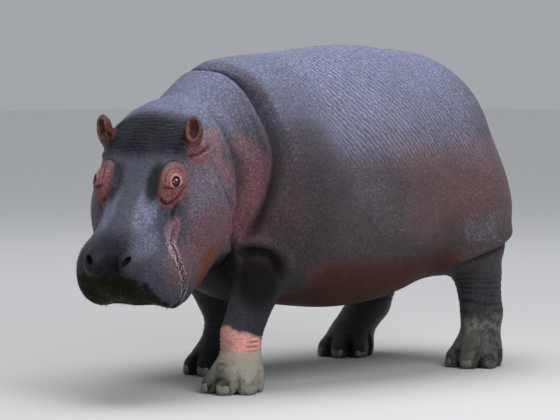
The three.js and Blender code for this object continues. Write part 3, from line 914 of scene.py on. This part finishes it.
def hideMaterial():
    # living hippopotamus hide: bare, slightly oily skin, so a soft broad shine over fine cracks
    made, tree, shader = newMaterial("barehide_oiled_satin")
    place = add(tree, "ShaderNodeTexCoord").outputs["Object"]
    patches = add(tree, "ShaderNodeTexNoise", {"Vector": place, "Scale": 7.0, "Detail": 6.0, "Roughness": 0.62})
    edges = add(tree, "ShaderNodeTexNoise", {"Vector": place, "Scale": 38.0, "Detail": 5.0, "Roughness": 0.65})
    grain = add(tree, "ShaderNodeTexNoise", {"Vector": place, "Scale": 160.0, "Detail": 3.0, "Roughness": 0.6})
    # the base, lighter and darker by patches
    tone = add(tree, "ShaderNodeMapRange", {"Value": patches.outputs["Fac"], "From Min": 0.36, "From Max": 0.66,
                                            "To Min": 0.0, "To Max": 1.0})
    colour = add(tree, "ShaderNodeMix", {0: tone.outputs[0], 6: linear("hideDark"), 7: linear("hide")},
                 data_type="RGBA").outputs[2]
    rough = add(tree, "ShaderNodeMapRange", {"Value": edges.outputs["Fac"], "From Min": 0.3, "From Max": 0.7,
                                             "To Min": 0.4, "To Max": 0.56}).outputs[0]
    mixed = add(tree, "ShaderNodeMath", {0: edges.outputs["Fac"], 1: patches.outputs["Fac"]}, operation="ADD")
    broken = add(tree, "ShaderNodeMath", {0: mixed.outputs[0], 1: -1.0}, operation="ADD").outputs[0]
    colour, rough = paintLayers(tree, hideLayers, colour, rough, broken)
    # cracks in a net of cells about 20 mm across, bent by noise, with a finer net between them
    bent = add(tree, "ShaderNodeMix", {0: 0.035, 4: place, 5: edges.outputs["Color"]}, data_type="VECTOR").outputs[1]
    cracks = add(tree, "ShaderNodeTexVoronoi", {"Vector": bent, "Scale": 52.0}, feature="DISTANCE_TO_EDGE")
    fine = add(tree, "ShaderNodeTexVoronoi", {"Vector": bent, "Scale": 150.0}, feature="DISTANCE_TO_EDGE")
    crackLine = add(tree, "ShaderNodeMapRange", {"Value": cracks.outputs["Distance"], "From Min": 0.0,
                                                 "From Max": 0.16, "To Min": 1.0, "To Max": 0.0})
    fineLine = add(tree, "ShaderNodeMapRange", {"Value": fine.outputs["Distance"], "From Min": 0.0,
                                                "From Max": 0.2, "To Min": 1.0, "To Max": 0.0})
    # slanting rows of wrinkles on the upper flank, about 20 mm apart
    slant = add(tree, "ShaderNodeMapping", {"Vector": bent, "Rotation": (0.0, math.radians(60), 0.0)})
    rows = add(tree, "ShaderNodeTexWave", {"Vector": slant.outputs[0], "Scale": 15.7, "Distortion": 2.5,
                                           "Detail": 3.0, "Detail Scale": 1.6}, bands_direction="Z")
    darker = add(tree, "ShaderNodeMath", {0: crackLine.outputs[0], 1: 0.34}, operation="MULTIPLY")
    darkest = add(tree, "ShaderNodeMath", {0: fineLine.outputs[0], 1: 0.42, 2: darker.outputs[0]},
                  operation="MULTIPLY_ADD")
    colour = add(tree, "ShaderNodeMix", {0: darkest.outputs[0], 6: colour, 7: linear("crease")},
                 data_type="RGBA").outputs[2]
    speckle = add(tree, "ShaderNodeMapRange", {"Value": grain.outputs["Fac"], "From Min": 0.3, "From Max": 0.7,
                                               "To Min": 0.72, "To Max": 1.6})
    colour = add(tree, "ShaderNodeVectorMath", {0: colour, "Scale": speckle.outputs[0]},
                 operation="SCALE").outputs[0]
    # the rows' ridges are painted paler and bluer: a painted highlight along their tops, over the relief the bump
    # gives them
    ridge = add(tree, "ShaderNodeMapRange", {"Value": rows.outputs["Fac"], "From Min": 0.6, "From Max": 1.0,
                                             "To Min": 0.0, "To Max": 0.42})
    rowMask = add(tree, "ShaderNodeAttribute", attribute_name="rows").outputs["Fac"]
    ridgeHere = add(tree, "ShaderNodeMath", {0: ridge.outputs[0], 1: rowMask}, operation="MULTIPLY")
    colour = add(tree, "ShaderNodeMix", {0: ridgeHere.outputs[0], 6: colour, 7: linear("ridgeSheen")},
                 data_type="RGBA").outputs[2]
    # old scratches: long thin cells, only where they come close to their own middle
    drawn = add(tree, "ShaderNodeMapping", {"Vector": place, "Rotation": (0.3, 0.7, 0.0),
                                            "Scale": (4.0, 4.0, 44.0)})
    marks = add(tree, "ShaderNodeTexVoronoi", {"Vector": drawn.outputs[0], "Scale": 0.62}, feature="F1")
    scratch = add(tree, "ShaderNodeMapRange", {"Value": marks.outputs["Distance"], "From Min": 0.03,
                                               "From Max": 0.055, "To Min": 0.28, "To Max": 0.0})
    colour = add(tree, "ShaderNodeMix", {0: scratch.outputs[0], 6: colour, 7: linear("scar")},
                 data_type="RGBA").outputs[2]
    colour, rough = paintLayers(tree, topLayers, colour, rough, broken)
    rowRelief = add(tree, "ShaderNodeMath", {0: rows.outputs["Fac"], 1: rowMask}, operation="MULTIPLY")
    relief = add(tree, "ShaderNodeMath", {0: crackLine.outputs[0], 1: -1.0, 2: rowRelief.outputs[0]},
                 operation="MULTIPLY_ADD")
    relief2 = add(tree, "ShaderNodeMath", {0: fineLine.outputs[0], 1: -0.8, 2: relief.outputs[0]},
                  operation="MULTIPLY_ADD")
    relief3 = add(tree, "ShaderNodeMath", {0: edges.outputs["Fac"], 1: 1.2, 2: relief2.outputs[0]},
                  operation="MULTIPLY_ADD")
    bump = add(tree, "ShaderNodeBump", {"Height": relief3.outputs[0], "Distance": 0.0026, "Strength": 1.0})
    tree.links.new(colour, shader.inputs["Base Color"])
    tree.links.new(rough, shader.inputs["Roughness"])
    tree.links.new(bump.outputs[0], shader.inputs["Normal"])
    dull = add(tree, "ShaderNodeAttribute", attribute_name="dull").outputs["Fac"]
    shine = add(tree, "ShaderNodeMapRange", {"Value": dull, "From Min": 0.0, "From Max": 1.0, "To Min": 0.5,
                                             "To Max": 0.04})
    tree.links.new(shine.outputs[0], shader.inputs["Specular IOR Level"])
    shader.inputs["IOR"].default_value = 1.42
    shader.inputs["Subsurface Weight"].default_value = 0.06
    shader.inputs["Subsurface Scale"].default_value = 0.02
    return made


def eyeMaterial():
    # a wet eye: brown iris round a wide dark pupil under a clear cornea
    made, tree, shader = newMaterial("eye_wet_glossy")
    angle = add(tree, "ShaderNodeAttribute", attribute_name="gazeAngle").outputs["Fac"]
    place = add(tree, "ShaderNodeTexCoord").outputs["Object"]
    fleck = add(tree, "ShaderNodeTexNoise", {"Vector": place, "Scale": 420.0, "Detail": 3.0})
    moved = add(tree, "ShaderNodeMath", {0: fleck.outputs["Fac"], 1: 0.035, 2: angle}, operation="MULTIPLY_ADD")
    ramp = add(tree, "ShaderNodeValToRGB", {"Fac": moved.outputs[0]})
    stops = ((0.0, "060506"), (0.115, "0A0707"), (0.14, "3A2216"), (0.2, "4A2C1C"), (0.25, "180E0B"),
             (0.28, "2E1C17"), (0.36, "6A453C"))
    bar = ramp.color_ramp
    for where, code in stops:
        spot = bar.elements.new(where)
        spot.color = linearHex(code)
    bar.elements.remove(bar.elements[0])
    bar.elements.remove(bar.elements[-1])
    tree.links.new(ramp.outputs[0], shader.inputs["Base Color"])
    shader.inputs["Roughness"].default_value = 0.12
    shader.inputs["IOR"].default_value = 1.38
    shader.inputs["Coat Weight"].default_value = 1.0
    shader.inputs["Coat Roughness"].default_value = 0.03
    return made


def hoofMaterial():
    # horn, worn and muddy: dull with fine ridges down its length
    made, tree, shader = newMaterial("hoofhorn_worn_matte")
    place = add(tree, "ShaderNodeTexCoord").outputs["Object"]
    grain = add(tree, "ShaderNodeTexNoise", {"Vector": place, "Scale": 60.0, "Detail": 5.0, "Roughness": 0.65})
    across = add(tree, "ShaderNodeMapping", {"Vector": place, "Scale": (420.0, 420.0, 40.0)})
    ridges = add(tree, "ShaderNodeTexNoise", {"Vector": across.outputs[0], "Scale": 1.0, "Detail": 2.0})
    muddy = add(tree, "ShaderNodeAttribute", attribute_name="muddy").outputs["Fac"]
    shifted = add(tree, "ShaderNodeMath", {0: grain.outputs["Fac"], 1: 0.9, 2: -0.45}, operation="MULTIPLY_ADD")
    much = add(tree, "ShaderNodeMath", {0: muddy, 1: shifted.outputs[0]}, operation="ADD", use_clamp=True)
    horn = add(tree, "ShaderNodeMix", {0: grain.outputs["Fac"], 6: linear("wet"), 7: linear("stain")},
               data_type="RGBA").outputs[2]
    colour = add(tree, "ShaderNodeMix", {0: much.outputs[0], 6: horn, 7: linear("nailMud")},
                 data_type="RGBA").outputs[2]
    rough = add(tree, "ShaderNodeMapRange", {"Value": much.outputs[0], "From Min": 0.0, "From Max": 1.0,
                                             "To Min": 0.32, "To Max": 0.82})
    bump = add(tree, "ShaderNodeBump", {"Height": ridges.outputs["Fac"], "Distance": 0.0012, "Strength": 0.7})
    tree.links.new(colour, shader.inputs["Base Color"])
    tree.links.new(rough.outputs[0], shader.inputs["Roughness"])
    tree.links.new(bump.outputs[0], shader.inputs["Normal"])
    shader.inputs["IOR"].default_value = 1.54
    return made


def bristleMaterial(name, root, tip, roughness):
    made, tree, shader = newMaterial(name)
    along = add(tree, "ShaderNodeAttribute", attribute_name="alongHair").outputs["Fac"]
    place = add(tree, "ShaderNodeTexCoord").outputs["Object"]
    vary = add(tree, "ShaderNodeTexNoise", {"Vector": place, "Scale": 90.0, "Detail": 2.0})
    moved = add(tree, "ShaderNodeMath", {0: vary.outputs["Fac"], 1: 0.5, 2: along}, operation="MULTIPLY_ADD")
    much = add(tree, "ShaderNodeMath", {0: moved.outputs[0], 1: -0.2}, operation="ADD", use_clamp=True)
    colour = add(tree, "ShaderNodeMix", {0: much.outputs[0], 6: linear(root), 7: linear(tip)},
                 data_type="RGBA").outputs[2]
    tree.links.new(colour, shader.inputs["Base Color"])
    shader.inputs["Roughness"].default_value = roughness
    shader.inputs["IOR"].default_value = 1.55
    return made


def storeFloats(made, name, values):
    made.attributes.new(name, "FLOAT", "POINT").data.foreach_set("value", np.asarray(values, f4))


def finished(made, name, material, nodes):
    made.polygons.foreach_set("use_smooth", [True] * len(made.polygons))
    made.name = name
    made.materials.append(material)
    piece = bpy.data.objects.new(name, made)
    bpy.context.scene.collection.objects.link(piece)
    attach(piece, "root")
    if nodes:
        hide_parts(*nodes)
    print(name, len(made.polygons), "faces")
    return piece


centreShift = np.array([body["middle"] / 1000, 0, 0], f4)


def makeSkin():
    made, points, n, crease = makeHide()
    for name, values in hideMasks(points, n, crease).items():
        storeFloats(made, name, values)
    writePoints(made, points - centreShift)
    nodes = ["trunk", "neck", "head", "lower_jaw", "tail", "ear_left", "ear_right"]
    for end in ("fore", "hind"):
        for side in ("left", "right"):
            nodes += [f"{end}_{side}_leg", f"foot_{end}_{side}"]
    return finished(made, "skin", hideMaterial(), nodes), points, n


def ballNet(around, down):
    # a ball of radius 1 as rings, closed by a point at each pole
    points, faces = [(0, 0, 1)], []
    for i in range(1, down):
        tilt = math.pi * i / down
        for k in range(around):
            turn = 2 * math.pi * k / around
            points.append((math.sin(tilt) * math.cos(turn), math.sin(tilt) * math.sin(turn), math.cos(tilt)))
    points.append((0, 0, -1))
    last = len(points) - 1
    for k in range(around):
        nxt = (k + 1) % around
        faces.append((0, 1 + k, 1 + nxt))
        faces.append((last, last - around + nxt, last - around + k))
        for i in range(down - 2):
            a = 1 + i * around
            faces.append((a + k, a + around + k, a + around + nxt, a + nxt))
    return np.array(points), faces


def makeEyes():
    material = eyeMaterial()
    unit, faces = ballNet(48, 32)
    gaze = gazeFrame()
    for name, side in (("left", 1), ("right", -1)):
        flip = np.array([1, side, 1])
        # the pole looks out; the cornea stands 2 mm proud
        angle = np.arccos(np.clip(unit[:, 2], -1, 1)) / math.pi
        reach = (eye["radius"] + 1.6 * soft(-angle, -0.3, -0.1)) / 1000
        local = unit[:, 2:3] * gaze[:, 0] + unit[:, 0:1] * gaze[:, 1] + unit[:, 1:2] * gaze[:, 2]
        local = (metres(eye["at"]) + local * reach[:, None]) * flip
        made = bpy.data.meshes.new("eye")
        turned = faces if side > 0 else [f[::-1] for f in faces]
        made.from_pydata((fromHead(local) - centreShift).tolist(), [], turned)
        # the iris is a little wider than high
        wide = np.hypot(unit[:, 0] * 0.86, unit[:, 1] * 1.12)
        seen = np.where(angle < 0.5, np.arcsin(np.clip(wide, 0, 1)) / math.pi, angle)
        storeFloats(made, "gazeAngle", seen)
        finished(made, f"eye{name.capitalize()}", material, [f"eye_{name}"])


def makeHooves():
    material = hoofMaterial()
    unit, faces = ballNet(28, 18)
    for legName, chain in body["legs"].items():
        points, nailFaces = [], []
        for angle in foot["toeAngles"]:
            at = metres(around(chain, angle, foot["nailReach"], foot["nailHeight"]))
            size = metres(foot["nail"]) + f4(0.0015)
            # a rounded plate: squarer than a ball, flat at the floor, its front face sloping out downwards
            shape = np.sign(unit) * np.abs(unit) ** 0.8
            local = shape * size
            local[:, 0] += -0.18 * local[:, 2]
            placed = local @ toeTurn(angle).T + at
            placed[:, 2] = np.maximum(placed[:, 2], 0.0012)
            nailFaces += [tuple(i + len(points) for i in f) for f in faces]
            points += placed.tolist()
        made = bpy.data.meshes.new("hooves")
        made.from_pydata((np.array(points) - centreShift).tolist(), [], nailFaces)
        storeFloats(made, "muddy", np.full(len(points), 0.85 if legName == "foreLeft" else 0.15))
        end = "fore" if legName.startswith("fore") else "hind"
        side = "left" if legName.endswith("Left") else "right"
        nodes = [f"nail_{end}_{side}_{k}" for k in range(1, 5)]
        finished(made, "hooves" + legName[0].upper() + legName[1:], material, nodes)


# Stiff hairs and small warts, set by their roots on the hide: how many, how long and thick in millimetres.
# lean is how far a hair tips from straight out towards its lie.
bristles = {
    "lipBristles": {"count": 420, "long": (7, 17), "thick": (0.45, 0.75), "lean": 0.8, "seed": 3},
    "earBristles": {"count": 360, "long": (6, 12), "thick": (0.3, 0.5), "lean": 0.9, "seed": 5},
    "tailBristles": {"count": 150, "long": (22, 48), "thick": (0.6, 1.0), "lean": 1.4, "seed": 7},
    "lipWarts": {"count": 680, "long": (1.2, 2.6), "thick": (1.8, 3.8), "lean": 0.0, "seed": 9},
}


def rootWeights(name, points, n):
    # how likely a root is at each point of the hide, and the way the hair lies there
    q = inHead(points)
    m = mirrored(q)
    u, v, w = (m[:, i] * 1000 for i in range(3))
    down = np.array([0.25, 0, -1.0])
    if name == "lipBristles":
        where = besideBand(m, folds["mouth"]["path"], 4, 34)
        where = np.maximum(where, 0.35 * soft(u, 560, 610) * soft(-w, -40, 40))
        return where * soft(u, 380, 450) * soft(points[:, 2] * 1000, 350, 390), down
    if name == "lipWarts":
        where = besideBand(m, folds["mouth"]["path"], 8, 30) * soft(u, 400, 450) * soft(v, 60, 150)
        return where * soft(points[:, 2] * 1000, 350, 390), down
    if name == "earBristles":
        e = (m - metres(ear["at"])) @ turnOf(*ear["turn"])
        bowl = ball(e, ear["bowlAt"], ear["bowl"])
        blade = ball(e, (0, 0, 0), np.array(ear["size"]) + 3)
        where = soft(-np.abs(bowl * 1000 + 1), -7, -2) * soft(-blade * 1000, -12, -3)
        return where * soft(e[:, 2] * 1000, -50, -20), np.array([0.0, 0.0, 1.0])
    x, y, z = (points[:, i] * 1000 for i in range(3))
    return soft(-x, 960, 1000) * soft(-z, -690, -640) * soft(-np.abs(y), -60, -40), np.array([0, 0, -1.0])


def unwrapPlace(points):
    # along the body and round it
    along = (points[:, 0] + 1.1) / 2.45
    about = 0.5 + np.arctan2(points[:, 1], points[:, 2] - 0.8) / (2 * math.pi)
    return np.stack([0.01 + 0.98 * along, 0.01 + 0.98 * about], 1)


def hairTree(shape):
    # instances of one hair or wart on the root points, made real
    tree = bpy.data.node_groups.new(shape, "GeometryNodeTree")
    tree.interface.new_socket("Roots", in_out="INPUT", socket_type="NodeSocketGeometry")
    tree.interface.new_socket("Sides", in_out="INPUT", socket_type="NodeSocketInt")
    tree.interface.new_socket("Material", in_out="INPUT", socket_type="NodeSocketMaterial")
    tree.interface.new_socket("Hairs", in_out="OUTPUT", socket_type="NodeSocketGeometry")
    given = add(tree, "NodeGroupInput")
    if shape == "wart":
        unit = add(tree, "GeometryNodeMeshIcoSphere", {"Radius": 1.0, "Subdivisions": 2}).outputs["Mesh"]
    else:
        cone = {"Vertices": given.outputs["Sides"], "Side Segments": 3, "Radius Top": 0.12,
                "Radius Bottom": 1.0, "Depth": 1.0}
        unit = add(tree, "GeometryNodeMeshCone", cone).outputs["Mesh"]
    here = add(tree, "GeometryNodeInputPosition")
    parts = add(tree, "ShaderNodeSeparateXYZ", {0: here.outputs[0]})
    flat = add(tree, "ShaderNodeCombineXYZ", {"X": parts.outputs["X"], "Y": parts.outputs["Z"]})
    drawn = add(tree, "GeometryNodeStoreNamedAttribute", {"Geometry": unit, "Name": "onHair",
                                                          "Value": flat.outputs[0]},
                data_type="FLOAT_VECTOR", domain="POINT")
    marked = add(tree, "GeometryNodeStoreNamedAttribute", {"Geometry": drawn.outputs["Geometry"],
                                                           "Name": "alongHair", "Value": parts.outputs["Z"]},
                 data_type="FLOAT", domain="POINT")
    lie = add(tree, "GeometryNodeInputNamedAttribute", {"Name": "lie"}, data_type="FLOAT_VECTOR")
    size = add(tree, "GeometryNodeInputNamedAttribute", {"Name": "size"}, data_type="FLOAT_VECTOR")
    turned = add(tree, "FunctionNodeAlignRotationToVector", {"Vector": lie.outputs[0]}, axis="Z")
    many = add(tree, "GeometryNodeInstanceOnPoints", {"Points": given.outputs["Roots"],
                                                      "Instance": marked.outputs["Geometry"],
                                                      "Rotation": turned.outputs[0], "Scale": size.outputs[0]})
    real = add(tree, "GeometryNodeRealizeInstances", {"Geometry": many.outputs[0]})
    place = add(tree, "GeometryNodeInputNamedAttribute", {"Name": "place"}, data_type="FLOAT_VECTOR")
    across = add(tree, "GeometryNodeInputNamedAttribute", {"Name": "onHair"}, data_type="FLOAT_VECTOR")
    # a wart spans two units of height and a hair one, and each patch is 0.003 tall
    tall = 0.0015 if shape == "wart" else 0.003
    patch = add(tree, "ShaderNodeVectorMath", {0: across.outputs[0], 1: (0.0015, tall, 0.0)},
                operation="MULTIPLY")
    corner = add(tree, "ShaderNodeVectorMath", {0: place.outputs[0], 1: patch.outputs[0]}, operation="ADD")
    mapped = add(tree, "GeometryNodeStoreNamedAttribute", {"Geometry": real.outputs[0], "Name": "OFBake",
                                                           "Value": corner.outputs[0]},
                 data_type="FLOAT2", domain="CORNER")
    painted = add(tree, "GeometryNodeSetMaterial", {"Geometry": mapped.outputs["Geometry"],
                                                    "Material": given.outputs["Material"]})
    add(tree, "NodeGroupOutput", {"Hairs": painted.outputs[0]})
    return tree


def makeBristles(name, points, n, material):
    values = bristles[name]
    rng = np.random.default_rng(values["seed"])
    weights, way = rootWeights(name, points, n)
    chosen = rng.choice(len(points), values["count"], replace=False, p=weights / weights.sum())
    root, out = points[chosen], n[chosen]
    flow = way - (out @ way)[:, None] * out
    lie = out + values["lean"] * flow + rng.normal(size=out.shape) * 0.18
    lie /= np.linalg.norm(lie, axis=1)[:, None]
    long = rng.uniform(*values["long"], len(root)) / 1000
    thick = rng.uniform(*values["thick"], len(root)) / 1000
    seeds = bpy.data.meshes.new("roots")
    seeds.from_pydata((root - centreShift - 0.0006 * out).tolist(), [], [])
    for label, data in (("lie", lie), ("size", np.stack([thick, thick, long], 1)),
                        ("place", np.column_stack([unwrapPlace(root), np.zeros(len(root))]))):
        stored = seeds.attributes.new(label, "FLOAT_VECTOR", "POINT")
        stored.data.foreach_set("vector", data.astype(f4).ravel())
    holder = bpy.data.objects.new("roots", seeds)
    bpy.context.scene.collection.objects.link(holder)
    tree = hairTree("wart" if name == "lipWarts" else "hair")
    grown = holder.modifiers.new("grown", "NODES")
    grown.node_group = tree
    sockets = {item.name: item.identifier for item in tree.interface.items_tree if item.in_out == "INPUT"}
    grown[sockets["Sides"]] = 5
    grown[sockets["Material"]] = material
    depsgraph = bpy.context.evaluated_depsgraph_get()
    made = bpy.data.meshes.new_from_object(holder.evaluated_get(depsgraph))
    bpy.data.objects.remove(holder)
    for label in ("lie", "size", "place", "onHair"):
        if label in made.attributes:
            made.attributes.remove(made.attributes[label])
    made.materials.clear()
    finished(made, name, material, [])


skin, hidePoints, hideNormals = makeSkin()
makeEyes()
makeHooves()
# stiff hair, dark at the root and bleached at the tip, and the small warts it grows between
hairLook = bristleMaterial("bristle_dry_satin", "crease", "bristleTip", 0.45)
wartLook = bristleMaterial("warthide_dry_satin", "face", "wart", 0.55)
for name in bristles:
    makeBristles(name, hidePoints, hideNormals, wartLook if name == "lipWarts" else hairLook)

# Floor, soft light and camera, in metres and degrees.
studio = {
    "floorHalf": 40, "floorNearEnd": 1.5, "floorFarStart": 9.0, "skyStrength": 0.5,
    "lookAt": (0.06, -0.058, 0.72), "turn": 46, "rise": 3.4, "distance": 12, "lens": 175.9, "sensor": 36,
}
floorMesh = bpy.data.meshes.new("floor")
half = studio["floorHalf"]
floorCorners = [(-half, -half, 0), (half, -half, 0), (half, half, 0), (-half, half, 0)]
floorMesh.from_pydata(floorCorners, [], [(0, 1, 2, 3)])
floorMaterial, floorTree, floorShader = newMaterial("floorpaint_pale_matte")
# the floor is a little deeper in tone under the animal and pales away from it, like a paper sweep
floorPlace = add(floorTree, "ShaderNodeTexCoord").outputs["Object"]
floorReach = add(floorTree, "ShaderNodeVectorMath", {0: floorPlace}, operation="LENGTH").outputs["Value"]
floorAway = add(floorTree, "ShaderNodeMapRange", {"Value": floorReach, "From Min": studio["floorNearEnd"],
                                                  "From Max": studio["floorFarStart"]},
                interpolation_type="SMOOTHSTEP")
floorTone = add(floorTree, "ShaderNodeMix", {0: floorAway.outputs[0], 6: linear("floorNear"),
                                             7: linear("floorFar")}, data_type="RGBA")
floorTree.links.new(floorTone.outputs[2], floorShader.inputs["Base Color"])
floorShader.inputs["Roughness"].default_value = 0.9
floorMesh.materials.append(floorMaterial)
floor = bpy.data.objects.new("floor", floorMesh)
bpy.context.scene.collection.objects.link(floor)

world = bpy.data.worlds.new("studio")
world.use_nodes = True
world.node_tree.nodes["Background"].inputs["Color"].default_value = linear("sky")
world.node_tree.nodes["Background"].inputs["Strength"].default_value = studio["skyStrength"]
bpy.context.scene.world = world
bpy.context.scene.view_settings.view_transform = "Standard"


def areaLight(name, at, towards, size, power, tint):
    light = bpy.data.lights.new(name, "AREA")
    light.shape = "DISK"
    light.size = size
    light.energy = power
    light.color = linear(tint)[:3]
    made = bpy.data.objects.new(name, light)
    made.location = at
    aim = Vector(towards) - Vector(at)
    made.rotation_euler = aim.to_track_quat("-Z", "Y").to_euler()
    bpy.context.scene.collection.objects.link(made)


areaLight("key", (0.6, 4.2, 4.2), (0.0, 0.0, 0.7), 4.0, 300, "skyLight")
areaLight("top", (-0.3, -0.2, 5.2), (0.0, 0.0, 0.7), 4.5, 430, "skyLight")
areaLight("fill", (5.0, 3.4, 1.6), (0.3, 0.0, 0.4), 3.0, 70, "skyLight")

camera = bpy.data.cameras.new("camera")
camera.sensor_width = studio["sensor"]
camera.lens = studio["lens"]
camera.clip_end = 100
camera.dof.use_dof = False
target = Vector(studio["lookAt"]) - Vector((body["middle"] / 1000, 0, 0))
turn, rise = math.radians(studio["turn"]), math.radians(studio["rise"])
outward = Vector((math.cos(turn) * math.cos(rise), math.sin(turn) * math.cos(rise), math.sin(rise)))
cameraObject = bpy.data.objects.new("camera", camera)
cameraObject.location = target + outward * studio["distance"]
cameraObject.rotation_euler = (-outward).to_track_quat("-Z", "Y").to_euler()
bpy.context.scene.collection.objects.link(cameraObject)
bpy.context.scene.camera = cameraObject
